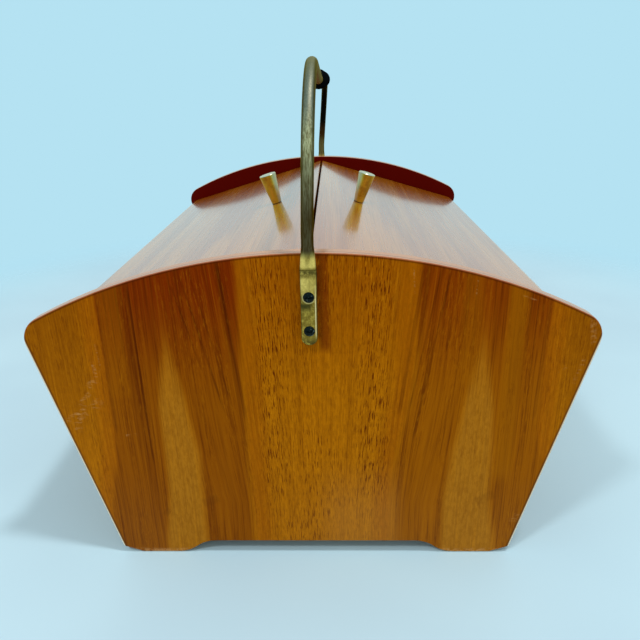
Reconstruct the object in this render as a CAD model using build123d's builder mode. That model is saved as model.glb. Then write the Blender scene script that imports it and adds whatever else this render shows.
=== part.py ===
from build123d import *
from math import cos, radians, sin, tan
import os

# A wooden sewing box with two sloping lids, a brass carrying handle and a sliding tray.
# Millimetres and degrees. The origin is on the floor under the middle of the box: X runs
# across it, Y along it and Z up. The front end is at -Y and the left side at -X.

# End panels
box_length = 358.0            # over the outer faces of the two end panels
panel_thickness = 8.0
panel_height = 162.4          # floor to the top of the crown
crown_radius = 275.5
foot_half_width = 100.2       # centre line to where the line of a side meets the floor
side_lean = 14.3              # of the sides, from the vertical
shoulder_radius = 12.0
foot_bevel_length = 9.0       # worn outer end of a foot's sole, along the floor
foot_bevel_height = 3.6
foot_corner_radius = 2.0
foot_inner_edge = 72.0        # centre line to where the arch between the feet starts
arch_height = 7.0
arch_curve_run = 20.0         # length of the S curve at each end of the arch
arris_radius = 0.8            # worn edges of the panels

# Side walls and bottom board
wall_thickness = 8.0
wall_inset = 1.8              # of the walls' outer faces from the panels' sides
wall_floor_gap = 8.0
bottom_thickness = 5.0
bottom_height = 11.0          # floor to the underside of the bottom board
groove_depth = 3.0
groove_clearance = 0.2

# Dowels between the panels and the walls
dowel_radius = 2.0
dowel_clearance = 0.05
dowel_end_gap = 3.0           # wood left behind a dowel in the panel
dowel_depth_in_wall = 14.0
dowel_edge_distance = 24.0    # from a wall's lower and upper edges

# Lids
lid_thickness = 7.0
lid_pitch = 16.5              # below the horizontal, from the ridge outwards
ridge_drop = 3.8              # panels' crown down to the lids' top faces at the ridge
ridge_gap = 1.4
lid_end_gap = 0.6             # between a lid's end and the panel
lid_outer_radius = 5.0        # rounding of the outer top edge
lid_arris_radius = 0.6

# Battens on the end panels that carry the lids' ends
rest_thickness = 10.0
rest_depth = 10.0
rest_centre_gap = 1.0

# Butt hinges, two to a lid
hinge_length = 40.0
hinge_end_distance = 60.0     # end panel to the middle of a hinge
hinge_offset = 0.5            # pin centre outside the lid's edge
barrel_radius = 1.8
pin_radius = 0.9
pin_fixed_clearance = 0.02
pin_turning_clearance = 0.05
knuckle_gap = 0.3
knuckle_clearance = 0.3       # round a barrel, in the wood and in the other leaf
leaf_thickness = 1.0
leaf_gap = 0.2                # between the two leaves of a shut hinge
leaf_margin = 0.8             # of the wall's top, left beside a leaf
leaf_screw_margin = 2.7       # far edge of a leaf to its screws' centres
leaf_screw_spacing = 26.0
hinge_screw_radius = 1.0
hinge_screw_head_radius = 1.9
hinge_screw_tip = 2.0         # length of the point
screw_tip_radius = 0.1
lid_screw_end_gap = 1.1       # wood left above a screw in the lid
wall_screw_length = 10.0
screw_clearance = 0.05

# Knobs
knob_ridge_distance = 29.5    # along the lid, from the ridge to the knob's axis
knob_height = 21.0
knob_base_radius = 3.35
knob_top_radius = 5.95
knob_top_round = 0.7
knob_screw_radius = 1.5
knob_screw_depth = 10.0       # in the knob
knob_screw_head_radius = 3.2
knob_screw_head_height = 1.8

# Handle
rod_radius = 2.7
handle_rise = 78.8            # panels' crown to where the lines of a leg and of the bar cross
handle_bend_radius = 38.0
handle_dip_radius = 200.0
handle_lean_radius = 60.0     # bend above a neck, where the leg starts to lean
handle_upright_length = 6.0   # leg above a neck before it leans
handle_offsets = (2.0, 5.0)   # of the bar's front and rear corner to the right of the feet
handle_rear_drop = 4.5        # of the bar's rear corner below the front one
grip_drop = 9.7               # that crossing down to the grip's axis
grip_length = 108.0
grip_radius = 5.5
grip_end_round = 2.2
grip_bore_clearance = 0.05
grip_end_to_dip = 8.0         # grip's end to where the sloping and the level bar cross
handle_foot_width = 7.2
handle_foot_thickness = 3.0
handle_foot_length = 35.3
handle_step_drop = 6.4        # panels' crown down to the step under the forged neck
handle_neck_thickness = 4.2
handle_neck_corner_radius = 1.4
handle_neck_length = 10.4
handle_screw_drops = (12.7, 28.6)  # from the step
handle_screw_radius = 1.4
handle_screw_head_radius = 2.45
handle_screw_dome = 0.8
handle_screw_end_gap = 1.0    # wood left behind a screw in the panel
handle_screw_tip = 2.5
slot_width = 0.6
slot_depth = 0.5

# Sliding tray
tray_headroom = 8.3           # tray's rim up to the lid rests
rail_height = 10.0
rail_width = 10.0
tray_length = 168.0
tray_end_clearance = 1.0
tray_side_clearance = 0.6
tray_height = 36.0
tray_bottom_thickness = 3.0
tray_board_thickness = 6.0
divider_thickness = 4.0
divider_drop = 6.0            # of the dividers below the tray's rim
rear_divider_place = 34.0     # centre line to a divider in the rear half

# Worked out from the sizes above
pitch = radians(lid_pitch)
lean = tan(radians(side_lean))
outer_y = box_length / 2
inner_y = outer_y - panel_thickness
inner_length = 2 * inner_y
wall_outer_foot = foot_half_width - wall_inset
wall_inner_foot = wall_outer_foot - wall_thickness / cos(radians(side_lean))
groove_height = bottom_thickness + groove_clearance
sides = (("left", -1), ("right", 1))
ends = (("front", -1), ("rear", 1))
ridge_height = panel_height - ridge_drop
lid_length = inner_length - 2 * lid_end_gap
hinge_y = inner_y - hinge_end_distance
knuckle_length = (hinge_length - 2 * knuckle_gap) / 3
barrel_hollow_radius = barrel_radius + knuckle_clearance
leaf_seat_depth = leaf_gap / 2 + leaf_thickness
lid_screw_length = lid_thickness - leaf_gap / 2 - lid_screw_end_gap
handle_foot_top = panel_height - handle_step_drop
handle_foot_bottom = handle_foot_top - handle_foot_length
handle_neck_top = handle_foot_top + handle_neck_length
handle_corner_height = panel_height + handle_rise
grip_height = handle_corner_height - grip_drop
handle_screw_heights = [handle_foot_top - drop for drop in handle_screw_drops]
panel_hole_depth = panel_thickness - handle_screw_end_gap
handle_screw_length = handle_foot_thickness + panel_hole_depth


def wall_inner(height):
    """Distance of a wall's inner face from the centre line at a height."""
    return wall_inner_foot + lean * height


def lid_underside(x):
    """Height of the plane of a lid's underside at a distance from the centre line."""
    return ridge_height - lid_thickness / cos(pitch) - (x - ridge_gap / 2) * tan(pitch)


def under_lid(foot, drop=0.0):
    """Point (x, z) where a wall face that starts at foot meets a plane below the lid's underside."""
    z = (lid_underside(foot) - drop) / (1 + lean * tan(pitch))
    return foot + lean * z, z


def cross_plane(y):
    """Plane across the box, with X to its right and Z up."""
    return Plane(origin=(0, y, 0), x_dir=(1, 0, 0), z_dir=(0, -1, 0))


# Corner under a lid's outer edge, on the wall's outer face
joint_x, joint_z = under_lid(wall_outer_foot)
lid_underside_width = (joint_x - ridge_gap / 2) / cos(pitch)
lid_top_width = lid_underside_width + lid_thickness * tan(pitch)

# What the bevelled tops of the walls carry
wall_top_width = (joint_x - under_lid(wall_inner_foot)[0]) / cos(pitch)
leaf_reach = wall_top_width - leaf_margin
leaf_screw_distance = leaf_reach - leaf_screw_margin

# Bottom board and dowels, which the end panels and the walls share
bottom_half_width = wall_inner(bottom_height) + groove_depth - groove_clearance
groove_width = 2 * (bottom_half_width + groove_clearance)
dowel_depth_in_panel = panel_thickness - dowel_end_gap
dowel_places = [
    (side * (wall_outer_foot + lean * z - wall_thickness / 2 / cos(radians(side_lean))), z)
    for _, side in sides
    for z in (wall_floor_gap + dowel_edge_distance, joint_z - dowel_edge_distance)
]

# Tray, below the lid rests
rest_drop = rest_depth / cos(pitch)
rail_top = under_lid(wall_inner_foot, rest_drop)[1] - tray_headroom - tray_height
tray_half_width = wall_inner(rail_top) - tray_side_clearance
tray_middle_y = -inner_y + tray_end_clearance + tray_length / 2


def lid_section(side, y=0.0):
    """Plane across a lid: its x runs from the outer edge to the ridge, its y out of the lid."""
    return Plane(
        origin=(side * joint_x, y, joint_z),
        x_dir=(-side * cos(pitch), 0, sin(pitch)),
        z_dir=(0, side, 0),
    )


def lid_face(side, distance, height, y, facing=1):
    """Plane parallel to a lid, in from its edge and above its underside, facing out or in."""
    return Plane(
        origin=(
            side * (joint_x - distance * cos(pitch) + height * sin(pitch)),
            y,
            joint_z + distance * sin(pitch) + height * cos(pitch),
        ),
        x_dir=(0, 1, 0),
        z_dir=(facing * side * sin(pitch), 0, facing * cos(pitch)),
    )


def hinge_screw_planes(side, height, facing):
    """Places of the four screws that hold one row of leaves, heads facing out or in."""
    return [
        lid_face(side, leaf_screw_distance, height, end * hinge_y + along, facing)
        for _, end in ends
        for along in (-leaf_screw_spacing / 2, leaf_screw_spacing / 2)
    ]


os.makedirs("parts", exist_ok=True)

# End panels: one outline for both, cut for the bottom board and for the wall dowels
for end_name, end in ends:
    with BuildPart() as end_panel:
        with BuildSketch(cross_plane(end * (outer_y - panel_thickness / 2))) as outline:
            with BuildLine():
                s_start = (-foot_inner_edge, 0)
                s_middle = (-foot_inner_edge + arch_curve_run / 2, arch_height / 2)
                s_end = (-foot_inner_edge + arch_curve_run, arch_height)
                up = TangentArc(s_start, s_middle, tangent=(1, 0))
                level = TangentArc(s_middle, s_end, tangent=up % 1)
                Line(s_end, (0, arch_height))
                mirror(about=Plane.YZ)
                shoulder = (foot_half_width + lean * panel_height, panel_height)
                sole_end = (foot_half_width - foot_bevel_length, 0)
                side_foot = (foot_half_width + lean * foot_bevel_height, foot_bevel_height)
                Polyline((foot_inner_edge, 0), sole_end, side_foot, shoulder)
                Line(shoulder, (-shoulder[0], shoulder[1]))
                Polyline((-shoulder[0], shoulder[1]), (-side_foot[0], side_foot[1]), (-sole_end[0], 0), s_start)
            make_face()
            with Locations((0, panel_height - crown_radius)):
                Circle(crown_radius, mode=Mode.INTERSECT)
            fillet(outline.vertices().group_by(Axis.Y)[-1], shoulder_radius)
            low_corners = outline.vertices().filter_by(lambda corner: corner.Y < panel_height / 2)
            low_corners = low_corners.sort_by(Axis.X)
            fillet([low_corners[0], low_corners[-1]], foot_corner_radius)
        extrude(amount=panel_thickness / 2, both=True)
        outer_and_inner = end_panel.faces().sort_by(Axis.Y)
        fillet(outer_and_inner[0].edges() + outer_and_inner[-1].edges(), arris_radius)
        with BuildSketch(cross_plane(end * inner_y)):
            with Locations((0, bottom_height)):
                Rectangle(groove_width, groove_height, align=(Align.CENTER, Align.MIN))
        extrude(amount=-end * groove_depth, mode=Mode.SUBTRACT)
        with BuildSketch(cross_plane(end * inner_y)):
            with Locations(*dowel_places):
                Circle(dowel_radius + dowel_clearance)
        extrude(amount=-end * (dowel_depth_in_panel + dowel_clearance), mode=Mode.SUBTRACT)
        with BuildSketch(cross_plane(end * outer_y)):
            with Locations(*[(0, z) for z in handle_screw_heights]):
                Circle(handle_screw_radius + screw_clearance)
        extrude(amount=end * (panel_hole_depth + screw_clearance), mode=Mode.SUBTRACT)
    end_panel.part.label = f"{end_name}_end_panel"
    export_step(end_panel.part, f"parts/{end_name}_end_panel.step")

    with BuildPart() as panel_dowels:
        with BuildSketch(cross_plane(end * (inner_y + dowel_depth_in_panel))):
            with Locations(*dowel_places):
                Circle(dowel_radius)
        extrude(amount=end * (dowel_depth_in_panel + dowel_depth_in_wall))
    panel_dowels.part.label = f"{end_name}_panel_dowels"
    export_step(panel_dowels.part, f"parts/{end_name}_panel_dowels.step")

# Side walls: leaning boards, grooved for the bottom board and let in for the hinges
for side_name, side in sides:
    with BuildPart() as side_wall:
        with BuildSketch(cross_plane(0)):
            with BuildLine():
                inner_top = under_lid(wall_inner_foot)
                Polyline(
                    (side * (wall_outer_foot + lean * wall_floor_gap), wall_floor_gap),
                    (side * joint_x, joint_z),
                    (side * inner_top[0], inner_top[1]),
                    (side * wall_inner(wall_floor_gap), wall_floor_gap),
                    close=True,
                )
            make_face()
        extrude(amount=inner_y, both=True)
        with BuildSketch(cross_plane(0)):
            with Locations((0, bottom_height)):
                Rectangle(groove_width, groove_height, align=(Align.CENTER, Align.MIN))
        extrude(amount=inner_y, both=True, mode=Mode.SUBTRACT)
        for _, end in ends:
            with BuildSketch(cross_plane(end * inner_y)):
                with Locations(*[place for place in dowel_places if place[0] * side > 0]):
                    Circle(dowel_radius + dowel_clearance)
            extrude(amount=end * (dowel_depth_in_wall + dowel_clearance), mode=Mode.SUBTRACT)
            with BuildSketch(lid_section(side, end * hinge_y)):
                with Locations((0, -leaf_seat_depth)):
                    Rectangle(leaf_reach, leaf_seat_depth, align=(Align.MIN, Align.MIN))
                with Locations((-hinge_offset, 0)):
                    Circle(barrel_hollow_radius)
            extrude(amount=hinge_length / 2 + knuckle_gap, both=True, mode=Mode.SUBTRACT)
        with Locations(*hinge_screw_planes(side, -leaf_gap / 2, 1)):
            Cylinder(
                hinge_screw_radius + screw_clearance,
                wall_screw_length + screw_clearance,
                align=(Align.CENTER, Align.CENTER, Align.MAX),
                mode=Mode.SUBTRACT,
            )
    side_wall.part.label = f"{side_name}_side_wall"
    export_step(side_wall.part, f"parts/{side_name}_side_wall.step")

# Bottom board, in the grooves of the walls and panels
with BuildPart() as bottom_board:
    with BuildSketch(Plane.XY.offset(bottom_height)):
        Rectangle(2 * bottom_half_width, inner_length + 2 * (groove_depth - groove_clearance))
    extrude(amount=bottom_thickness)
bottom_board.part.label = "bottom_board"
export_step(bottom_board.part, "parts/bottom_board.step")

# Lid rests: battens glued to the end panels, mitred at the ridge
for end_name, end in ends:
    for side_name, side in sides:
        with BuildPart() as lid_rest:
            with BuildSketch(cross_plane(end * inner_y)):
                with BuildLine():
                    middle = rest_centre_gap / 2
                    upper = under_lid(wall_inner_foot)
                    lower = under_lid(wall_inner_foot, rest_drop)
                    Polyline(
                        (side * middle, lid_underside(middle)),
                        (side * upper[0], upper[1]),
                        (side * lower[0], lower[1]),
                        (side * middle, lid_underside(middle) - rest_drop),
                        close=True,
                    )
                make_face()
            extrude(amount=end * rest_thickness)
        lid_rest.part.label = f"{end_name}_{side_name}_lid_rest"
        export_step(lid_rest.part, f"parts/{end_name}_{side_name}_lid_rest.step")

# Lids: flat boards, let in on the underside for the hinges
knob_distance = lid_top_width - knob_ridge_distance
for side_name, side in sides:
    with BuildPart() as lid:
        with BuildSketch(lid_section(side)) as section:
            with BuildLine():
                Polyline(
                    (0, 0),
                    (0, lid_thickness),
                    (lid_top_width, lid_thickness),
                    (lid_underside_width, 0),
                    close=True,
                )
            make_face()
            outer_top = section.vertices().group_by(Axis.Y)[-1].sort_by(Axis.X)[0]
            fillet(outer_top, lid_outer_radius)
        extrude(amount=lid_length / 2, both=True)
        top_face = lid.faces().sort_by(Axis.Z)[-1]
        ridge_edge = top_face.edges().filter_by(Axis.Y).sort_by(Axis.Z)[-1]
        fillet(ridge_edge, lid_arris_radius)
        for _, end in ends:
            with BuildSketch(lid_section(side, end * hinge_y)):
                Rectangle(leaf_reach, leaf_seat_depth, align=(Align.MIN, Align.MIN))
                with Locations((-hinge_offset, 0)):
                    Circle(barrel_hollow_radius)
            extrude(amount=hinge_length / 2 + knuckle_gap, both=True, mode=Mode.SUBTRACT)
        with Locations(*hinge_screw_planes(side, leaf_gap / 2, -1)):
            Cylinder(
                hinge_screw_radius + screw_clearance,
                lid_screw_length + screw_clearance,
                align=(Align.CENTER, Align.CENTER, Align.MAX),
                mode=Mode.SUBTRACT,
            )
        with Locations(lid_face(side, knob_distance, lid_thickness, 0)):
            Hole(knob_screw_radius + screw_clearance)
    lid.part.label = f"{side_name}_lid"
    export_step(lid.part, f"parts/{side_name}_lid.step")

# Knobs: turned brass cones, widest at the flat top, each drilled for its screw
for side_name, side in sides:
    knob_seat = lid_face(side, knob_distance, lid_thickness, 0)
    with BuildPart() as knob:
        with Locations(knob_seat):
            Cone(
                knob_base_radius,
                knob_top_radius,
                knob_height,
                align=(Align.CENTER, Align.CENTER, Align.MIN),
            )
        fillet(knob.edges().group_by(Axis.Z)[-1], knob_top_round)
        with Locations(knob_seat):
            Cylinder(
                knob_screw_radius + screw_clearance,
                knob_screw_depth + screw_clearance,
                align=(Align.CENTER, Align.CENTER, Align.MIN),
                mode=Mode.SUBTRACT,
            )
    knob.part.label = f"{side_name}_knob"
    export_step(knob.part, f"parts/{side_name}_knob.step")

    with BuildPart() as knob_screw:
        with Locations(lid_face(side, knob_distance, 0, 0)):
            Cylinder(
                knob_screw_radius,
                lid_thickness + knob_screw_depth,
                align=(Align.CENTER, Align.CENTER, Align.MIN),
            )
            Cylinder(
                knob_screw_head_radius,
                knob_screw_head_height,
                align=(Align.CENTER, Align.CENTER, Align.MAX),
            )
        fillet(knob_screw.edges().group_by(Axis.Z)[0], slot_depth)
        with Locations(lid_face(side, knob_distance, -knob_screw_head_height, 0)):
            Box(2 * knob_screw_head_radius, slot_width, 2 * slot_depth, mode=Mode.SUBTRACT)
    knob_screw.part.label = f"{side_name}_knob_screw"
    export_step(knob_screw.part, f"parts/{side_name}_knob_screw.step")

# Butt hinges: the wall leaf holds the pin in its two outer knuckles, and the lid leaf turns on it
outer_knuckle_y = knuckle_length + knuckle_gap
for side_name, side in sides:
    for end_name, end in ends:
        middle_y = end * hinge_y
        leaves = (
            ("wall", -1, (-outer_knuckle_y, outer_knuckle_y), pin_fixed_clearance),
            ("lid", 1, (0,), pin_turning_clearance),
        )
        for leaf_name, upward, knuckle_places, bore_clearance in leaves:
            leaf_middle = upward * (leaf_gap + leaf_thickness) / 2
            plate_start = barrel_hollow_radius - hinge_offset
            with BuildPart() as leaf:
                with BuildSketch(lid_section(side, middle_y)):
                    with Locations((plate_start, leaf_middle)):
                        Rectangle(
                            leaf_reach - plate_start,
                            leaf_thickness,
                            align=(Align.MIN, Align.CENTER),
                        )
                extrude(amount=hinge_length / 2, both=True)
                for along in knuckle_places:
                    with BuildSketch(lid_section(side, middle_y + along)):
                        with Locations((-hinge_offset, 0)):
                            Circle(barrel_radius)
                        with Locations((-hinge_offset, leaf_middle)):
                            Rectangle(
                                plate_start + hinge_offset,
                                leaf_thickness,
                                align=(Align.MIN, Align.CENTER),
                            )
                        with Locations((-hinge_offset, 0)):
                            Circle(pin_radius + bore_clearance, mode=Mode.SUBTRACT)
                    extrude(amount=knuckle_length / 2, both=True)
                screw_places = [
                    plane
                    for plane in hinge_screw_planes(side, upward * leaf_gap / 2, -upward)
                    if plane.origin.Y * end > 0
                ]
                with Locations(*screw_places):
                    CounterSinkHole(
                        hinge_screw_radius + screw_clearance,
                        hinge_screw_head_radius + screw_clearance,
                        leaf_thickness * 2,
                    )
            leaf.part.label = f"{side_name}_{end_name}_hinge_{leaf_name}_leaf"
            export_step(leaf.part, f"parts/{side_name}_{end_name}_hinge_{leaf_name}_leaf.step")

        with BuildPart() as hinge_pin:
            with BuildSketch(lid_section(side, middle_y)):
                with Locations((-hinge_offset, 0)):
                    Circle(pin_radius)
            extrude(amount=hinge_length / 2, both=True)
        hinge_pin.part.label = f"{side_name}_{end_name}_hinge_pin"
        export_step(hinge_pin.part, f"parts/{side_name}_{end_name}_hinge_pin.step")

# Hinge screws: slotted and countersunk, four in each lid and four in each wall
for side_name, side in sides:
    screw_rows = (
        ("lid", leaf_gap / 2, -1, lid_screw_length),
        ("wall", -leaf_gap / 2, 1, wall_screw_length),
    )
    for row_name, height, facing, length in screw_rows:
        planes = hinge_screw_planes(side, height, facing)
        head_depth = hinge_screw_head_radius - hinge_screw_radius
        with BuildPart() as hinge_screws:
            with Locations(*planes):
                Cone(
                    hinge_screw_radius,
                    hinge_screw_head_radius,
                    head_depth,
                    align=(Align.CENTER, Align.CENTER, Align.MAX),
                )
                Cylinder(
                    hinge_screw_radius,
                    length - hinge_screw_tip,
                    align=(Align.CENTER, Align.CENTER, Align.MAX),
                )
                with Locations((0, 0, hinge_screw_tip - length)):
                    Cone(
                        screw_tip_radius,
                        hinge_screw_radius,
                        hinge_screw_tip,
                        align=(Align.CENTER, Align.CENTER, Align.MAX),
                    )
                Box(2 * hinge_screw_head_radius, slot_width, slot_depth, mode=Mode.SUBTRACT)
        hinge_screws.part.label = f"{side_name}_{row_name}_hinge_screws"
        export_step(hinge_screws.part, f"parts/{side_name}_{row_name}_hinge_screws.step")

# Handle: one brass rod, forged flat at both ends, where screws hold it to the end panels
leg_y = outer_y + rod_radius
dip_y = grip_length / 2 + grip_end_to_dip
front_offset, rear_offset = handle_offsets
bar_offset = (front_offset + rear_offset) / 2
bar_turn = (rear_offset - front_offset) / (2 * leg_y)
bar_plane = Plane(origin=(bar_offset, 0, grip_height), z_dir=(bar_turn, 1, 0))
screw_planes = [
    Plane(origin=(0, end * (outer_y + handle_foot_thickness), z), x_dir=(1, 0, 0), z_dir=(0, end, 0))
    for _, end in ends
    for z in handle_screw_heights
]
with BuildPart() as handle_rod:
    with BuildLine() as handle_path:
        FilletPolyline(
            (0, -leg_y, handle_neck_top),
            (0, -leg_y, handle_neck_top + handle_upright_length),
            (front_offset, -leg_y, handle_corner_height),
            (bar_offset - bar_turn * dip_y, -dip_y, grip_height),
            (bar_offset + bar_turn * dip_y, dip_y, grip_height),
            (rear_offset, leg_y, handle_corner_height - handle_rear_drop),
            (0, leg_y, handle_neck_top + handle_upright_length),
            (0, leg_y, handle_neck_top),
            radius=[
                handle_lean_radius,
                handle_bend_radius,
                handle_dip_radius,
                handle_dip_radius,
                handle_bend_radius,
                handle_lean_radius,
            ],
        )
    with BuildSketch(Plane(origin=handle_path.line @ 0, z_dir=handle_path.line % 0)):
        Circle(rod_radius)
    sweep(path=handle_path.line)
    for _, end in ends:
        with BuildSketch(Plane.XY.offset(handle_foot_top)):
            with Locations((0, end * (outer_y + handle_neck_thickness / 2))):
                RectangleRounded(
                    handle_foot_width, handle_neck_thickness, handle_neck_corner_radius
                )
        with BuildSketch(Plane.XY.offset(handle_neck_top)):
            with Locations((0, end * leg_y)):
                Circle(rod_radius)
        loft()
        with BuildSketch(cross_plane(end * outer_y)):
            with Locations((0, handle_foot_bottom + handle_foot_width / 2)):
                Circle(handle_foot_width / 2)
                straight_length = handle_foot_top - handle_foot_bottom - handle_foot_width / 2
                Rectangle(handle_foot_width, straight_length, align=(Align.CENTER, Align.MIN))
        extrude(amount=-end * handle_foot_thickness)
    with Locations(*screw_planes):
        CounterSinkHole(
            handle_screw_radius + screw_clearance,
            handle_screw_head_radius + screw_clearance,
            2 * handle_foot_thickness,
        )
handle_rod.part.label = "handle_rod"
export_step(handle_rod.part, "parts/handle_rod.step")

# Handle screws: blackened, with raised slotted heads
with BuildPart() as handle_screws:
    for plane in screw_planes:
        with BuildSketch(Plane(origin=plane.origin, x_dir=plane.x_dir, z_dir=-plane.y_dir)):
            with BuildLine():
                Polyline(
                    (0, handle_screw_dome),
                    (0, -handle_screw_length),
                    (handle_screw_radius, handle_screw_tip - handle_screw_length),
                    (handle_screw_radius, handle_screw_radius - handle_screw_head_radius),
                    (handle_screw_head_radius, 0),
                )
                TangentArc(
                    (0, handle_screw_dome), (handle_screw_head_radius, 0), tangent=(1, 0)
                )
            make_face()
        revolve(axis=Axis(plane.origin, plane.z_dir))
    with Locations(*[plane.offset(handle_screw_dome) for plane in screw_planes]):
        Box(2 * handle_screw_head_radius, slot_width, 2 * slot_depth, mode=Mode.SUBTRACT)
handle_screws.part.label = "handle_screws"
export_step(handle_screws.part, "parts/handle_screws.step")

# Handle grip: black sleeve on the level middle of the rod
with BuildPart() as handle_grip:
    with BuildSketch(bar_plane):
        Circle(grip_radius)
    extrude(amount=grip_length / 2, both=True)
    fillet(handle_grip.edges().filter_by(GeomType.CIRCLE), grip_end_round)
    with BuildSketch(bar_plane):
        Circle(rod_radius + grip_bore_clearance)
    extrude(amount=grip_length / 2, both=True, mode=Mode.SUBTRACT)
handle_grip.part.label = "handle_grip"
export_step(handle_grip.part, "parts/handle_grip.step")

# Tray rails: battens glued to the side walls, bevelled to their lean
for side_name, side in sides:
    with BuildPart() as tray_rail:
        with BuildSketch(cross_plane(0)):
            with BuildLine():
                rail_edge = wall_inner(rail_top) - rail_width
                rail_bottom = rail_top - rail_height
                Polyline(
                    (side * rail_edge, rail_bottom),
                    (side * rail_edge, rail_top),
                    (side * wall_inner(rail_top), rail_top),
                    (side * wall_inner(rail_bottom), rail_bottom),
                    close=True,
                )
            make_face()
        extrude(amount=inner_y, both=True)
    tray_rail.part.label = f"{side_name}_tray_rail"
    export_step(tray_rail.part, f"parts/{side_name}_tray_rail.step")

# Tray: a bottom, four boards and four dividers, shown at the front end of its travel
tray_floor = rail_top + tray_bottom_thickness
board_height = tray_height - tray_bottom_thickness
divider_height = board_height - divider_drop
inner_half_width = tray_half_width - tray_board_thickness
half_bay = (tray_length - 2 * tray_board_thickness - divider_thickness) / 2
bay_middle = (half_bay + divider_thickness) / 2
tray_boards = {
    "tray_bottom": (0, 0, rail_top, 2 * tray_half_width, tray_length, tray_bottom_thickness),
    "tray_cross_divider": (
        0, 0, tray_floor, 2 * inner_half_width, divider_thickness, divider_height,
    ),
    "tray_front_divider": (
        0, -bay_middle, tray_floor, divider_thickness, half_bay, divider_height,
    ),
}
for end_name, end in ends:
    end_y = end * (tray_length - tray_board_thickness) / 2
    tray_boards[f"tray_{end_name}"] = (
        0, end_y, tray_floor, 2 * tray_half_width, tray_board_thickness, board_height,
    )
for side_name, side in sides:
    side_x = side * (tray_half_width - tray_board_thickness / 2)
    side_length = tray_length - 2 * tray_board_thickness
    tray_boards[f"tray_{side_name}_side"] = (
        side_x, 0, tray_floor, tray_board_thickness, side_length, board_height,
    )
    divider_x = side * rear_divider_place
    tray_boards[f"tray_rear_{side_name}_divider"] = (
        divider_x, bay_middle, tray_floor, divider_thickness, half_bay, divider_height,
    )
for board_name, (x, y, z, width, length, height) in tray_boards.items():
    with BuildPart() as tray_board:
        with BuildSketch(Plane.XY.offset(z)):
            with Locations((x, tray_middle_y + y)):
                Rectangle(width, length)
        extrude(amount=height)
    tray_board.part.label = board_name
    export_step(tray_board.part, f"parts/{board_name}.step")
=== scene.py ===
"""Wooden sewing box with veneered end panels, two sloping lids, a brass handle and a sliding tray.

Blender's own lengths are metres. The patterns of the materials are drawn in millimetres.
"""

import bpy
import numpy as np
from mathutils import Matrix, Vector

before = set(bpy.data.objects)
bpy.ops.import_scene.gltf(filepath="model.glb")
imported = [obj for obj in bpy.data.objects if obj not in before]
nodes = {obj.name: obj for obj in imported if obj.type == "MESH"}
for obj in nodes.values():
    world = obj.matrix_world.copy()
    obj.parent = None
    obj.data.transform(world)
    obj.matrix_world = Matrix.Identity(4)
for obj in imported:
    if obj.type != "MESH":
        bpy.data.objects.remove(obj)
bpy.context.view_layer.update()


# Camera. It stands close in front of the box and looks down on the lids, a hand's breadth above the
# handle's feet. It is turned to the left by a degree and a half and rolled by one.
turned, lowered, rolled = np.radians([1.45, 21.76, -1.01])
camera_place = (0.0110, -0.4275, 0.2308)
ahead = np.array([-np.sin(turned) * np.cos(lowered), np.cos(turned) * np.cos(lowered), -np.sin(lowered)])
level = np.array([np.cos(turned), np.sin(turned), 0.0])
upright = np.cross(level, ahead)
rightwards = level * np.cos(rolled) + upright * np.sin(rolled)
upwards = upright * np.cos(rolled) - level * np.sin(rolled)
camera = bpy.data.objects.new("camera", bpy.data.cameras.new("camera"))
camera.data.lens = 33.75
camera.data.sensor_width = 36.0
camera_axes = np.column_stack([rightwards, upwards, -ahead])
camera.matrix_world = Matrix.Translation(camera_place) @ Matrix(camera_axes.tolist()).to_4x4()
bpy.context.scene.collection.objects.link(camera)
bpy.context.scene.camera = camera
bpy.context.scene.view_settings.view_transform = "Standard"


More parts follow.
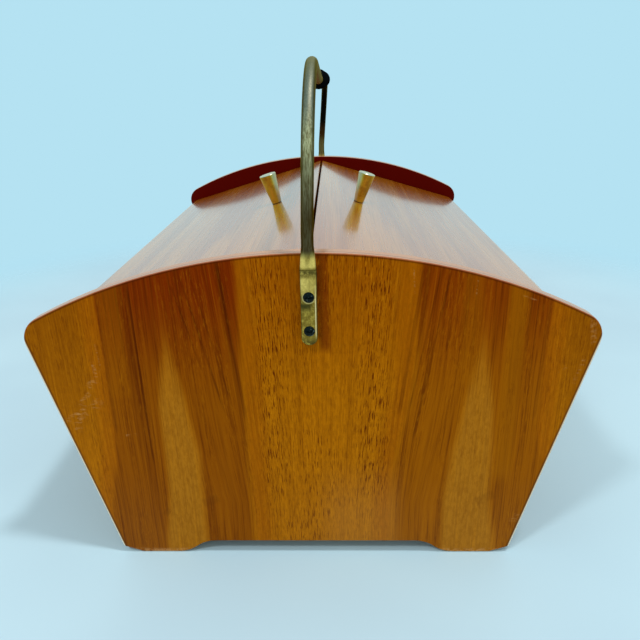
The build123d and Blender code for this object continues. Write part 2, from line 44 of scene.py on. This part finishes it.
# Backdrop. A plain pale blue surround, the same on every side, which also lights the box evenly. Dull
# surfaces get neutral light from it. Glossy ones see it dark low down in front of the box, and whiter
# behind it.
class Wire:
    """One number, colour or vector in a node tree; + - * / and abs() of wires add Math nodes."""

    def __init__(self, tree, socket=None):
        self.tree = tree
        self.socket = socket

    def feed(self, node, sockets):
        """Give the sockets of a node their values or wires."""
        for name, value in sockets.items():
            if isinstance(value, Wire):
                self.tree.links.new(value.socket, node.inputs[name])
            else:
                node.inputs[name].default_value = value

    def node(self, kind, settings, sockets, output=0):
        """Add a node, first its settings and then the values or wires of its sockets; one output back."""
        made = self.tree.nodes.new(kind)
        for name, value in settings.items():
            setattr(made, name, value)
        self.feed(made, sockets)
        return Wire(self.tree, made.outputs[output])

    def maths(self, operation, first, second=0.0):
        return self.node("ShaderNodeMath", {"operation": operation}, {0: first, 1: second})

    def __add__(self, other):
        return self.maths("ADD", self, other)

    def __radd__(self, other):
        return self.maths("ADD", other, self)

    def __sub__(self, other):
        return self.maths("SUBTRACT", self, other)

    def __rsub__(self, other):
        return self.maths("SUBTRACT", other, self)

    def __mul__(self, other):
        return self.maths("MULTIPLY", self, other)

    def __rmul__(self, other):
        return self.maths("MULTIPLY", other, self)

    def __truediv__(self, other):
        return self.maths("DIVIDE", self, other)

    def __abs__(self):
        return self.maths("ABSOLUTE", self)

    def least(self, other):
        """The lesser of the two."""
        return self.maths("MINIMUM", self, other)

    def most(self, other):
        """The greater of the two."""
        return self.maths("MAXIMUM", self, other)

    def root(self):
        return self.maths("SQRT", self)

    def rise(self, low, high):
        """0 below low, 1 above high, and an S-shaped slope between them."""
        return self.node("ShaderNodeMapRange", {"interpolation_type": "SMOOTHSTEP"},
                         {"Value": self, "From Min": low, "From Max": high})

    def fall(self, low, high):
        """1 below low, 0 above high, and the same slope between them."""
        return 1 - self.rise(low, high)

    def part(self, axis):
        """The x, y or z part of a vector, for axis 0, 1 or 2."""
        return self.node("ShaderNodeSeparateXYZ", {}, {0: self}, axis)

    def stretched(self, x, y, z):
        """A vector with each part multiplied by its own factor."""
        return self.node("ShaderNodeVectorMath", {"operation": "MULTIPLY"}, {0: self, 1: (x, y, z)})

    def cloud(self, x, y, z, detail=2.0, roughness=0.5, swirl=0.0):
        """Noise round 0.5, with x, y and z lumps to a unit of length along the three axes."""
        return self.node("ShaderNodeTexNoise", {},
                         {"Vector": self.stretched(x, y, z), "Scale": 1.0, "Detail": detail,
                          "Roughness": roughness, "Distortion": swirl})

    def mixed(self, colour, share):
        """This colour with a share of another one over it."""
        return blended(share, self, colour)


def tone(red, green, blue):
    """A colour as the eye sees it, 0 to 255 in each part, as Blender's linear colour."""
    seen = np.array([red, green, blue]) / 255
    linear = np.where(seen <= 0.04045, seen / 12.92, ((seen + 0.055) / 1.055) ** 2.4)
    return (*linear.tolist(), 1.0)


def blended(share, none, full):
    """A colour between two: the first at share 0 and the second at share 1.

    The share or the first colour is a wire."""
    wire = share if isinstance(share, Wire) else none
    return wire.node("ShaderNodeMix", {"data_type": "RGBA"}, {0: share, 6: none, 7: full}, 2)


backdrop_colour = tone(181, 226, 242)
surround = bpy.data.worlds.new("surround")
surround.use_nodes = True
bpy.context.scene.world = surround
sky = Wire(surround.node_tree)
dull = sky.node("ShaderNodeLightPath", {}, {}, "Is Diffuse Ray")
glossy = sky.node("ShaderNodeLightPath", {}, {}, "Is Glossy Ray")
aim = sky.node("ShaderNodeTexCoord", {}, {}, "Generated")
low_in_front = aim.part(1).fall(-0.85, -0.25) * aim.part(2).fall(-0.32, -0.05)
sky_colour = blended(glossy * low_in_front, backdrop_colour, tone(58, 50, 44))
sky_colour = sky_colour.mixed(tone(198, 228, 234), glossy * aim.part(1).rise(0.2, 0.7))
sky.feed(surround.node_tree.nodes["Background"], {"Color": sky_colour.mixed(tone(214, 214, 214), dull)})


# Floor. A pale, slightly uneven table top that takes the box's soft shadows. It thins out to nothing
# between a third and two thirds of a metre away, so that no edge or horizon shows from any side.
def new_finish(name, **sockets):
    """A material with one Principled shader and its plain values; the shader and a first wire come too."""
    made = bpy.data.materials.new(name)
    made.use_nodes = True
    shader = made.node_tree.nodes["Principled BSDF"]
    start = Wire(made.node_tree)
    start.feed(shader, {socket.replace("_", " "): value for socket, value in sockets.items()})
    return made, shader, start


def millimetres(start):
    """The place on the object, in millimetres."""
    place = start.node("ShaderNodeTexCoord", {}, {}, "Object")
    return place.stretched(1000, 1000, 1000)


rim_points = 96
thins_from, thins_to = 330, 620     # millimetres from the middle of the box
turn = np.linspace(0, 2 * np.pi, rim_points, endpoint=False)
rim = np.column_stack([np.cos(turn), np.sin(turn), np.zeros(rim_points)])   # a circle of 1 m radius
floor_mesh = bpy.data.meshes.new("floor")
floor_mesh.from_pydata(rim.tolist(), [], [list(range(rim_points))])
floor = bpy.data.objects.new("floor", floor_mesh)
bpy.context.scene.collection.objects.link(floor)
table_top, top_shader, start = new_finish("table_top", Roughness=0.6, Specular_IOR_Level=0.1)
mm = millimetres(start)
reach = (mm.part(0) * mm.part(0) + mm.part(1) * mm.part(1)).root()
blotch = mm.cloud(0.006, 0.006, 0.006).rise(0.3, 0.7)
start.feed(top_shader, {"Base Color": blended(blotch, tone(181, 212, 225), tone(187, 219, 231))})
painted_top = Wire(start.tree, top_shader.outputs[0])
nothing = start.node("ShaderNodeBsdfTransparent", {}, {})
surface = start.node("ShaderNodeMixShader", {},
                     {0: reach.rise(thins_from, thins_to), 1: painted_top, 2: nothing})
start.feed(table_top.node_tree.nodes["Material Output"], {"Surface": surface})
floor_mesh.materials.append(table_top)


# Studio lights. Two soft lamps throw the faint shadows on the table: one high and a little to the
# right, one lower from the front left.
box_middle = Vector((0, 0, 0.1))


def lamp(name, towards, distance, size, power):
    """A square soft lamp that stands towards the given direction and faces the middle of the box."""
    made = bpy.data.objects.new(name, bpy.data.lights.new(name, "AREA"))
    made.data.size = size
    made.data.energy = power
    direction = Vector(towards).normalized()
    made.rotation_euler = direction.to_track_quat("Z", "Y").to_euler()
    made.location = direction * distance + box_middle
    bpy.context.scene.collection.objects.link(made)
    return made


lamp("high_lamp", (0.033, -0.029, 0.118), 1.6, 0.16, 10.0)
lamp("front_lamp", (-0.058, -0.086, 0.118), 1.8, 0.2, 8.0).visible_glossy = False


# End panels. Two 8 mm boards with a crowned top and two feet, faced with book-matched walnut-brown
# veneer whose grain stands upright. The edges are lipped and lacquered, and the inner faces stained.
def put_on(material, *names):
    """Give the material to the slots of these CAD nodes."""
    for name in names:
        for slot in nodes[name].material_slots:
            slot.material = material


outer_face, inner_face = 179, 171           # of the panels, from the middle of the box
crown_radius, crown_centre = 275.5, 113.1   # of the top edge; its centre is that far under the floor
side_foot = 100.2                           # from the middle to where the line of a side meets the floor
side_lean = np.radians(14.3)                # of the sides, outwards
match_line = 6                              # where the two mirrored leaves meet
axis_away = 72                              # from there to the axis of each leaf's figure

# Dark lines of grain: each one's two ends, across and up, its width and its share of dark colour.
dark_lines = (
    ((-40, 163), (-31, 76), 1.2, 0.7), ((-57, 156), (-41, 82), 0.7, 0.6),
    ((-53, 158), (-38, 90), 0.6, 0.5), ((-61, 150), (-50, 105), 0.6, 0.45),
    ((-94, 148), (-95, 70), 1.2, 0.55), ((-80, 153), (-79, 52), 0.7, 0.65),
    ((51, 161), (41, 80), 1.3, 0.6), ((62, 156), (48, 66), 0.7, 0.55),
    ((58, 158), (46, 84), 0.6, 0.45), ((106, 146), (105, 78), 1.2, 0.5),
    ((90, 151), (93, 60), 0.7, 0.3))
# Pale lines in the bands, given the same way.
pale_lines = (((92, 160), (93, 40), 6, 0.6), ((72, 160), (73, 95), 6, 0.3), ((-89, 156), (-90, 90), 7, 0.3))
# Dull smudges near the foot.
smudges = (((-57, 31), (-48, 35)), ((81, 32), (91, 37)), ((-77, 27), (-74, 25)))
# Rubbed places and scratches, with their width: down the left side, at the right foot, under the
# crown and down the right side.
scratches = (
    ((-98.6, 121), (-97.4, 107), 0.5), ((-119, 78), (-108, 86), 3.5), ((-114, 74), (-109, 90), 2.6),
    ((-105, 86), (-100, 92), 3.2), ((-105, 98), (-101, 103), 2.4), ((-110, 90), (-104, 96), 1.6),
    ((-101, 112), (-100.5, 103), 1.2), ((-91, 72), (-85, 72.5), 0.9), ((101, 19), (104, 25), 2.4),
    ((92, 143), (101, 139.5), 0.5), ((46.5, 143), (45.5, 155), 0.5), ((73, 141), (73.5, 150), 0.5),
    ((125, 136), (127.5, 118), 1.8), ((124.5, 112), (121, 98), 1.4), ((117, 108), (114, 104), 1.4))


class PanelVeneer:
    """The veneer of one end panel, laid on colour by colour, from its figure to the marks of use, with a
    painted reflection low down and painted light and shade at its corners.

    Inward is the distance from the axis of a leaf's figure towards the match line. Round the axis a pale
    fan opens towards the foot, with a dark band of grain lines and an orange stripe either side of it.
    The lines lean inwards as they go down: leaned is inward less that lean."""

    def __init__(self, start, facing, seed):
        mm = millimetres(start)
        self.seed = seed
        self.seeded = mm.node("ShaderNodeVectorMath", {"operation": "ADD"}, {0: mm, 1: (seed, seed, seed)})
        self.x = mm.part(0) * facing    # to the right as one faces the panel
        self.y = mm.part(1)
        self.z = mm.part(2)
        self.right = self.x.rise(match_line - 1, match_line + 1)    # 1 on the right leaf, 0 on the left
        waver = (self.seeded.cloud(0.02, 0.02, 0.006) - 0.5) * 2
        self.inward = axis_away - abs(self.x - match_line) + waver
        self.straight = self.across(self.inward)    # the place for patterns that stand straight
        lean = ((165 - self.z) * 0.105).most(0).least(14)
        past_axis = ((self.inward + 6) / 36).most(0).least(1)
        short_of_match = ((78 - self.inward) / 50).least(1)
        self.leaned = self.inward - lean * past_axis * short_of_match
        self.lined = self.across(self.leaned)       # the place for patterns that lean

    def across(self, distance):
        """The place for a pattern whose distance across the grain is the given one."""
        return distance.node("ShaderNodeCombineXYZ", {},
                             {0: distance + self.seed, 1: self.y, 2: self.z + self.seed})

    def lay(self, colour, share):
        """Put a share of a colour over what is there."""
        self.colour = self.colour.mixed(colour, share)

    def streak(self, one_end, other_end, width):
        """1 on a thin straight mark from one end to the other, 0 beside it."""
        (x0, z0), (x1, z1) = one_end, other_end
        length = np.hypot(x1 - x0, z1 - z0)
        ux, uz = (x1 - x0) / length, (z1 - z0) / length
        along = (self.x - x0) * ux + (self.z - z0) * uz
        aside = abs((self.x - x0) * uz - (self.z - z0) * ux)
        return aside.fall(width * 0.4, width) * abs(along - length / 2).fall(length * 0.4, length * 0.5)

    def figure(self):
        """The golden ground with its pale fans, dark bands and orange stripes."""
        z, right = self.z, self.right
        frayed = self.inward + (self.straight.cloud(0.5, 0.3, 0.006, 3.0, 0.6) - 0.5) * 4
        fan_in = ((132 - z) * 0.14).most(0).least(10) + right * z.fall(30, 60) * 2.5
        fan_out = ((z - 125) * 0.16).least(0).most(-6) - z.fall(0, 45) * 5 - right * z.fall(45, 110) * 3
        fan = frayed.fall(fan_in - 3, fan_in + 2) * frayed.rise(fan_out - 3, fan_out + 2)
        self.fan = fan * z.fall(80, 145)
        band_in = 34 - right * 5 + right * z.fall(45, 110) * 9
        band_out = -30 - z.fall(25, 75) * (8 + right * 8)
        band = frayed.fall(band_in - 2, band_in + 3) * frayed.rise(band_out - 3, band_out + 2)
        self.band = band * (1 - self.fan)
        upper = z.rise(85, 155)
        self.colour = blended(upper, tone(177, 105, 2), tone(157, 84, 0))
        self.lay(blended(upper, tone(140, 74, 1), tone(119, 38, 0)), self.band * (1 - right * 0.25))
        stripe_in = frayed.rise(band_in, band_in + 3) * frayed.fall(band_in + 5, band_in + 14)
        stripe_out = frayed.rise(band_out - 9, band_out - 4) * frayed.fall(band_out - 1, band_out + 2)
        self.lay(tone(160, 86, 1), (stripe_in + stripe_out) * 0.75)
        self.lay(tone(170, 110, 24), self.fan * 0.82)
        outside = frayed.fall(band_out - 12, band_out - 3) * z.rise(50, 110)
        self.lay(tone(138, 78, 1), outside * 0.6)

    def grain_lines(self):
        """Fine dark lines, strongest in the bands, pale ones outside them, and long ones drawn singly."""
        grain = self.lined.cloud(0.9, 0.4, 0.012, 4.0, 0.75)
        upright_grain = self.straight.cloud(0.9, 0.4, 0.012, 4.0, 0.75)
        self.grain = grain + (upright_grain - grain) * self.fan
        thread = self.lined.cloud(0.36, 0.2, 0.005, 3.0, 0.65) * (1 - self.fan)
        hair = self.lined.cloud(1.7, 0.5, 0.03, 2.0, 0.6)
        strength = 0.4 + self.band * 0.5
        dark = thread.rise(0.5, 0.68) * 0.55 + self.grain.rise(0.48, 0.66) * 0.5
        self.lay(tone(88, 30, 0), dark * strength)
        self.lay(tone(80, 24, 0), hair.rise(0.55, 0.68) * strength * 0.45)
        pale = self.grain.fall(0.32, 0.48) * 0.4 + hair.fall(0.34, 0.46) * 0.25
        self.lay(tone(200, 126, 12), pale * (0.6 - self.band * 0.35))
        mottle = self.seeded.cloud(0.7, 0.7, 0.3, 4.0, 0.7).rise(0.42, 0.62) * (1 - self.band)
        self.lay(tone(126, 68, 0), mottle * 0.3)
        faded = 0.35 + thread.rise(0.35, 0.6) * 0.65
        for one_end, other_end, width, share in dark_lines:
            self.lay(tone(72, 22, 1), self.streak(one_end, other_end, width) * faded * share)
        self.lay(tone(100, 28, 3), self.streak((5.2, 172), (7.2, 114), 3.5) * 0.65)
        for one_end, other_end, width, share in pale_lines:
            self.lay(tone(158, 92, 2), self.streak(one_end, other_end, width) * share)

    def open_pores(self):
        """Short dark pores and glints between them, crowded in the middle and in two columns there."""
        in_clumps = self.lined.cloud(0.12, 0.1, 0.012, 3.0).rise(0.42, 0.6) * 0.4 * (1 - self.fan * 0.5)
        in_columns = abs(abs(self.x - match_line) - 24).fall(3, 11) * self.z.rise(20, 50) * 0.5
        in_middle = self.seeded.cloud(0.06, 0.06, 0.02, 3.0).rise(0.35, 0.6) * 0.5 + 0.3 + in_columns
        crowd = in_clumps.most(self.inward.rise(36, 46) * in_middle).least(1)
        pitted = self.across(self.leaned + self.right * 40)
        self.pores = pitted.cloud(1.8, 1.0, 0.14, 2.0, 0.6).rise(0.54, 0.6) * crowd
        self.lay(tone(88, 26, 0), self.pores * 0.9)
        glints = pitted.cloud(1.5, 1.0, 0.18, 2.0, 0.6).fall(0.36, 0.45) * crowd
        self.lay(tone(206, 132, 12), glints * 0.35)

    def floor_reflection_and_marks_of_use(self):
        """A painted reflection of the pale floor low down, dull smudges, and rubbed scratches."""
        x, z = self.x, self.z
        # Painted reflection: a pale veil low on the face stands for the floor that the lacquer mirrors.
        painted_floor_reflection = z.fall(0, 60) * (x.fall(-84, -66) + x.rise(-30, 10)) * 0.05
        painted_floor_reflection = painted_floor_reflection + x.rise(-2, 16) * self.inward.rise(30, 40) * z.fall(22, 62) * 0.14
        self.lay(tone(196, 138, 66), painted_floor_reflection)
        for one_end, other_end in smudges:
            self.lay(tone(92, 46, 6), self.streak(one_end, other_end, 3.5) * 0.2)
        rubbed = self.seeded.cloud(0.3, 0.3, 1.1, 4.0, 0.7).rise(0.46, 0.7)
        for one_end, other_end, width in scratches:
            self.lay(tone(206, 156, 92), self.streak(one_end, other_end, width) * rubbed * 0.32)

    def edges(self):
        """The lipping and its joint, its pale colour partly painted glare; the rubbed corners of the face,
        partly painted as lit; painted shade lines beside the corners under the crown and down the sides,
        and a painted highlight on the corners down the sides; the knocked soles and the stained inside."""
        x, y, z = self.x, abs(self.y), self.z
        below_crown = z + crown_centre
        crown = crown_radius - (x * x + below_crown * below_crown).root()
        flank = (side_foot + z * np.tan(side_lean) - abs(x)) * np.cos(side_lean)
        face = y.rise(outer_face - 0.3, outer_face - 0.02)
        inside = y.fall(inner_face + 0.1, inner_face + 0.6)
        self.edge = (1 - y.rise(outer_face - 0.8, outer_face - 0.2)) * (1 - inside)
        # Painted shade: a thin dark line on the face just inside its corner, under the crown and down the
        # sides.
        self.lay(tone(70, 22, 2), crown.least(flank + 0.6).fall(0.7, 1.5) * face * 0.7)
        # The lipping's pale pinkish colour is partly its own and partly the painted glare of its lacquer.
        self.lay(tone(192, 146, 112), self.edge * 0.8)
        lipping_joint = abs(y - (outer_face - 2.6)).fall(0.3, 0.8)
        self.lay(tone(128, 80, 58), lipping_joint * self.edge * 0.6)
        # The rounded corner next to the crown: partly rubbed wood, partly a painted highlight.
        worn_and_lit_corner = (1 - face) * (1 - self.edge) * (1 - inside)
        self.lay(tone(150, 92, 62), worn_and_lit_corner * crown.fall(1, 3))
        # Down the sides below the shoulders: a painted shade line on the face beside the corner, and a
        # painted highlight on the corner itself.
        front = y.rise(outer_face - 0.8, outer_face - 0.5)
        self.lay(tone(92, 50, 8), front * flank.fall(1.4, 2.2) * z.fall(146, 152) * 0.7)
        self.lay(tone(232, 220, 190), front * flank.fall(0.6, 1.1) * z.fall(138, 148))
        knocks = self.seeded.cloud(0.35, 0.35, 0.5, 4.0, 0.7).rise(0.42, 0.55)
        self.lay(tone(204, 152, 96), z.fall(0.3, 3.2) * knocks * 0.7)
        self.lay(tone(78, 2, 2), inside)


for name, facing, seed in (("front", 1, 0.0), ("rear", -1, 40.0)):
    finish, shader, start = new_finish(f"{name}_veneer", Specular_IOR_Level=0.09,
                                       Specular_Tint=tone(255, 180, 70), Coat_Roughness=0.15)
    veneer = PanelVeneer(start, facing, seed)
    veneer.figure()
    veneer.grain_lines()
    veneer.open_pores()
    veneer.floor_reflection_and_marks_of_use()
    veneer.edges()
    relief = 1 - veneer.pores - veneer.grain * 0.3
    start.feed(shader, {
        "Base Color": veneer.colour,
        "Roughness": 0.36 + veneer.grain * 0.15,
        "Coat Weight": veneer.edge * 0.6,
        "Normal": start.node("ShaderNodeBump", {}, {"Strength": 0.2, "Distance": 0.0002, "Height": relief}),
    })
    put_on(finish, f"{name}_end_panel")


# Side walls and bottom board. The walls are 8 mm boards that lean out with the panels' sides, veneered
# with the grain along the box. The bottom is a plain board let into grooves in the walls.
def long_veneer(name, colour, dark, pale, gloss, **sockets):
    """Veneer whose grain runs along the box, with broad stripes, fine dark lines and short pores."""
    finish, shader, start = new_finish(name, **sockets)
    mm = millimetres(start)
    waver = mm.cloud(0.01, 0.006, 0.01)
    broad = mm.cloud(0.07, 0.003, 0.07, 3.0, 0.6, 0.6).rise(0.38, 0.66)
    fine = mm.cloud(0.9, 0.012, 0.9, 3.0, 0.6)
    pores = mm.cloud(1.3, 0.12, 1.3, 1.0).rise(0.64, 0.72) * waver.rise(0.35, 0.6)
    base = blended(broad, colour, pale).mixed(dark, fine.rise(0.5, 0.72) * 0.5)
    base = base.mixed(tone(84, 38, 4), pores * 0.6)
    relief = 1 - pores - fine * 0.2
    start.feed(shader, {
        "Base Color": base,
        "Roughness": gloss + fine * 0.08,
        "Normal": start.node("ShaderNodeBump", {}, {"Strength": 0.2, "Distance": 0.0001, "Height": relief}),
    })
    return finish


wall_veneer = long_veneer("wall_veneer", tone(160, 92, 20), tone(118, 58, 8), tone(178, 112, 36), 0.34,
                          Specular_IOR_Level=0.3)
put_on(wall_veneer, "left_side_wall", "right_side_wall")
plain_board = long_veneer("plain_board", tone(196, 158, 106), tone(168, 126, 78), tone(210, 176, 126), 0.5)
put_on(plain_board, "bottom_board")


# Dowels, lid rests and tray rails. Beech rods glued into the panels and walls, battens that carry the
# lids' ends, and battens that the tray slides on.
beech = long_veneer("beech", tone(204, 166, 116), tone(176, 134, 86), tone(216, 184, 136), 0.5)
put_on(beech, "front_panel_dowels", "rear_panel_dowels", "front_left_lid_rest", "front_right_lid_rest",
       "rear_left_lid_rest", "rear_right_lid_rest", "left_tray_rail", "right_tray_rail")


# Lids. Two flat veneered boards, 7 mm thick, that slope from the ridge to the side walls, with their
# grain along the box. Their lacquer is glossy and mirrors the far panel and the surround.
lid_veneer = long_veneer("lid_veneer", tone(160, 84, 6), tone(118, 54, 6), tone(186, 114, 24), 0.24,
                         Specular_IOR_Level=0.35, Coat_Weight=1.0, Coat_Roughness=0.11, Coat_IOR=1.45)
put_on(lid_veneer, "left_lid", "right_lid")


# Hinges. Small brass butt hinges, two to a lid, with a leaf on the wall, a leaf on the lid and a pin
# between them. Brass screws hold the leaves. The brass has duller patches and fine tarnish spots.
dull_brass = tone(150, 120, 60)
hinge_brass, hinge_shader, start = new_finish("hinge_brass", Metallic=1.0)
mm = millimetres(start)
patches = mm.cloud(0.12, 0.12, 0.08, 3.0, 0.6).rise(0.38, 0.66)
spots = mm.cloud(1.6, 1.6, 1.0, 2.0, 0.6).rise(0.55, 0.75)
start.feed(hinge_shader, {
    "Base Color": blended(patches * 0.5, tone(205, 170, 90), dull_brass).mixed(dull_brass, spots * 0.5),
    "Roughness": 0.3 + patches * 0.12 + spots * 0.1,
    "Normal": start.node("ShaderNodeBump", {}, {"Strength": 0.15, "Distance": 0.0001, "Height": 1 - spots}),
})
for side in ("left", "right"):
    put_on(hinge_brass, f"{side}_wall_hinge_screws", f"{side}_lid_hinge_screws")
    for end in ("front", "rear"):
        put_on(hinge_brass, f"{side}_{end}_hinge_wall_leaf", f"{side}_{end}_hinge_lid_leaf",
               f"{side}_{end}_hinge_pin")


# Knobs. Turned brass cones, wider at the top, that stand square on the lids. A steel screw comes up
# through the lid into each.
lid_pitch = np.radians(16.5)
knob_foot, knob_top = 152.3, 173.3  # measured square to a lid, from the middle of the box's underside
knob_brass, knob_shader, start = new_finish("knob_brass", Metallic=1.0, Specular_Tint=tone(255, 236, 190),
                                            Coat_Weight=0.5, Coat_Roughness=0.12)
mm = millimetres(start)
turned_marks = mm.cloud(0.15, 0.15, 0.15, 4.0, 0.65)
inwards = start.node("ShaderNodeTexCoord", {}, {}, "Normal").part(0) * (1 - mm.part(0).rise(-1, 1) * 2)
colour = blended(turned_marks.rise(0.4, 0.62), tone(210, 172, 36), tone(178, 136, 16))
# Painted reflection: the side of each knob facing the middle of the box, and its flat top, are painted pale
# for the pale surround they mirror.
colour = colour.mixed(tone(198, 190, 160), inwards.rise(0.4, 0.85) * 0.75)
square_out = mm.part(2) * np.cos(lid_pitch) + abs(mm.part(0)) * np.sin(lid_pitch)
colour = colour.mixed(tone(226, 220, 204), square_out.rise(knob_top - 0.7, knob_top - 0.3))
# Painted shadow: a dark ring round the foot of each knob, where it stands on the lid.
colour = colour.mixed(tone(40, 32, 14), square_out.fall(knob_foot + 0.3, knob_foot + 1.0) * 0.8)
start.feed(knob_shader, {"Base Color": colour, "Roughness": 0.24 + turned_marks * 0.12})
put_on(knob_brass, "left_knob", "right_knob")
steel, steel_shader, start = new_finish("screw_steel", Metallic=1.0, Roughness=0.35)
scuffs = millimetres(start).cloud(2.0, 2.0, 2.0)
start.feed(steel_shader, {"Base Color": scuffs.mixed(tone(190, 190, 188), 0.8)})
put_on(steel, "left_knob_screw", "right_knob_screw")


# Handle. One brass rod bent to a loop over the box, its ends hammered flat into feet on the outside of
# the panels, each with two blackened round-headed screws. A black sleeve in the middle is the grip.
foot_end, foot_top = 120.7, 156.0   # heights of a foot's two ends; the rod's neck starts at the top one
upper_screw = 143.3                 # height of the upper screw's middle
rod_brass, rod_shader, start = new_finish("rod_brass", Specular_Tint=tone(255, 224, 150))
mm = millimetres(start)
x, y, z = mm.part(0), mm.part(1), mm.part(2)
outwards = start.node("ShaderNodeTexCoord", {}, {}, "Normal")
drawn = mm.cloud(1.8, 1.8, 0.2, 4.0, 0.7)
colour = blended(drawn.rise(0.38, 0.62), tone(230, 206, 152), tone(158, 132, 84))
# Painted light: the loop's top is painted grey and darker, standing for its reflection of the sky and
# dimming the lamp's highlight there.
colour = colour.mixed(tone(112, 114, 104), z.rise(206, 226) * 0.85)
# Painted shade: the rod's sides and underside are painted dark.
shaded_sides_and_under = abs(outwards.part(0)).rise(0.45, 0.85).most(outwards.part(2).fall(-0.7, 0.1))
colour = colour.mixed(tone(62, 52, 30), shaded_sides_and_under * 0.85)
# Painted reflection: the lower part of the front leg is painted dark brown, as it mirrors dark
# surroundings.
colour = colour.mixed(tone(64, 38, 6), z.fall(176, 215) * y.fall(-10, 10) * 0.85)
# Painted shade and reflection: the rear leg's face towards the front darkens from brown to nearly black as
# it rises to the grip.
shaded_rear_leg_front = y.rise(60, 110) * z.fall(234, 238) * outwards.part(1).fall(-0.45, 0.05)
colour = colour.mixed(tone(96, 74, 20), shaded_rear_leg_front * 0.8)
colour = colour.mixed(tone(60, 22, 4), z.rise(172, 184) * shaded_rear_leg_front * 0.9)
colour = colour.mixed(tone(6, 10, 8), z.rise(184, 196) * shaded_rear_leg_front * 0.95)

scuffed = mm.cloud(0.7, 0.7, 0.5, 4.0, 0.7)
foot_colour = blended(scuffed.rise(0.3, 0.6), tone(172, 154, 62), tone(118, 100, 30))
lit_plate = z.rise(143, 148) * z.fall(150.5, 154) * (1 - x.rise(-1.4, 1.4) * 0.5)
lit_neck = z.rise(foot_top + 0.2, foot_top + 1.6) * (1 - abs(x).fall(0.3, 1.7) * z.rise(157, 162))
lit = lit_plate.most(z.rise(150, 154) * 0.3).most(lit_neck)
foot_colour = foot_colour.mixed(tone(224, 204, 108), lit * (0.7 + scuffed.fall(0.4, 0.6) * 0.3))
up_from_screw = z - upper_screw
from_screw = (x * x + up_from_screw * up_from_screw).root()
worn_ring = abs(from_screw - 2.75).fall(0.05, 0.35) * (z + x * 0.6).fall(142, 146)
foot_colour = foot_colour.mixed(tone(200, 196, 140), worn_ring * 0.55)
# Painted shadow: a dark crescent on the foot under the upper screw's head.
screw_head_shadow = z.fall(139.5, 142) * z.rise(135.5, 139.5) * x.fall(-0.5, 3.2) * from_screw.rise(2.9, 3.4)
foot_colour = foot_colour.mixed(tone(30, 34, 4), screw_head_shadow * 0.9)
lower_end = z.fall(foot_end + 0.5, foot_end + 3.8) * scuffed.rise(0.3, 0.5)
foot_colour = foot_colour.mixed(tone(58, 48, 10), lower_end * 0.9)
# Painted shade: a dark line in the crease where the neck turns into the foot.
crease_shade = abs(z - foot_top + 0.2).fall(0.2, 0.9)
foot_colour = foot_colour.mixed(tone(84, 70, 14), crease_shade * 0.8)
below_neck = z.rise(151.5, 154.5) * z.fall(foot_top - 1.2, foot_top - 0.4) * scuffed.rise(0.35, 0.6)
foot_colour = foot_colour.mixed(tone(96, 84, 30), below_neck)
# Painted highlight: a bright line down the foot's right edge.
highlight_edge = abs(x - 2.95).fall(0.05, 0.35) * z.fall(141, 151) * z.rise(123, 127)
foot_colour = foot_colour.mixed(tone(244, 232, 176), highlight_edge * 0.8)
foot_colour = foot_colour.mixed(tone(40, 30, 4), abs(x).rise(3.2, 3.5) * 0.85)
foot = z.fall(foot_top + 4, foot_top + 9)
colour = colour.mixed(foot_colour, foot)
start.feed(rod_shader, {
    "Base Color": colour,
    "Metallic": 1 - foot * 0.85,
    "Roughness": 0.44 + drawn * 0.15,
    "Normal": start.node("ShaderNodeBump", {}, {"Strength": 0.15, "Distance": 0.0001, "Height": drawn}),
})
put_on(rod_brass, "handle_rod")
blackened, black_shader, start = new_finish("blackened_steel", Metallic=1.0, Roughness=0.32)
# Pale spots on the black heads: partly wear, partly painted glints.
wear_and_glints = millimetres(start).cloud(0.8, 0.8, 0.8, 3.0).rise(0.55, 0.8)
start.feed(black_shader, {"Base Color": blended(wear_and_glints, tone(30, 33, 30), tone(120, 124, 116))})
put_on(blackened, "handle_screws")
grip_black, grip_shader, start = new_finish("grip_black", Specular_IOR_Level=0.0)
dust = millimetres(start).cloud(0.8, 0.8, 0.8, 3.0)
start.feed(grip_shader, {"Base Color": blended(dust, tone(4, 6, 7), tone(14, 20, 22)),
                         "Roughness": 0.45 + dust * 0.2})
put_on(grip_black, "handle_grip")


# Tray. A half-length tray of thin beech boards, a bottom and four sides, that slides along the rails.
# A cross divider and three short ones part it into two bays in front and three behind.
put_on(beech, "tray_bottom", "tray_front", "tray_rear", "tray_left_side", "tray_right_side",
       "tray_cross_divider", "tray_front_divider", "tray_rear_left_divider", "tray_rear_right_divider")
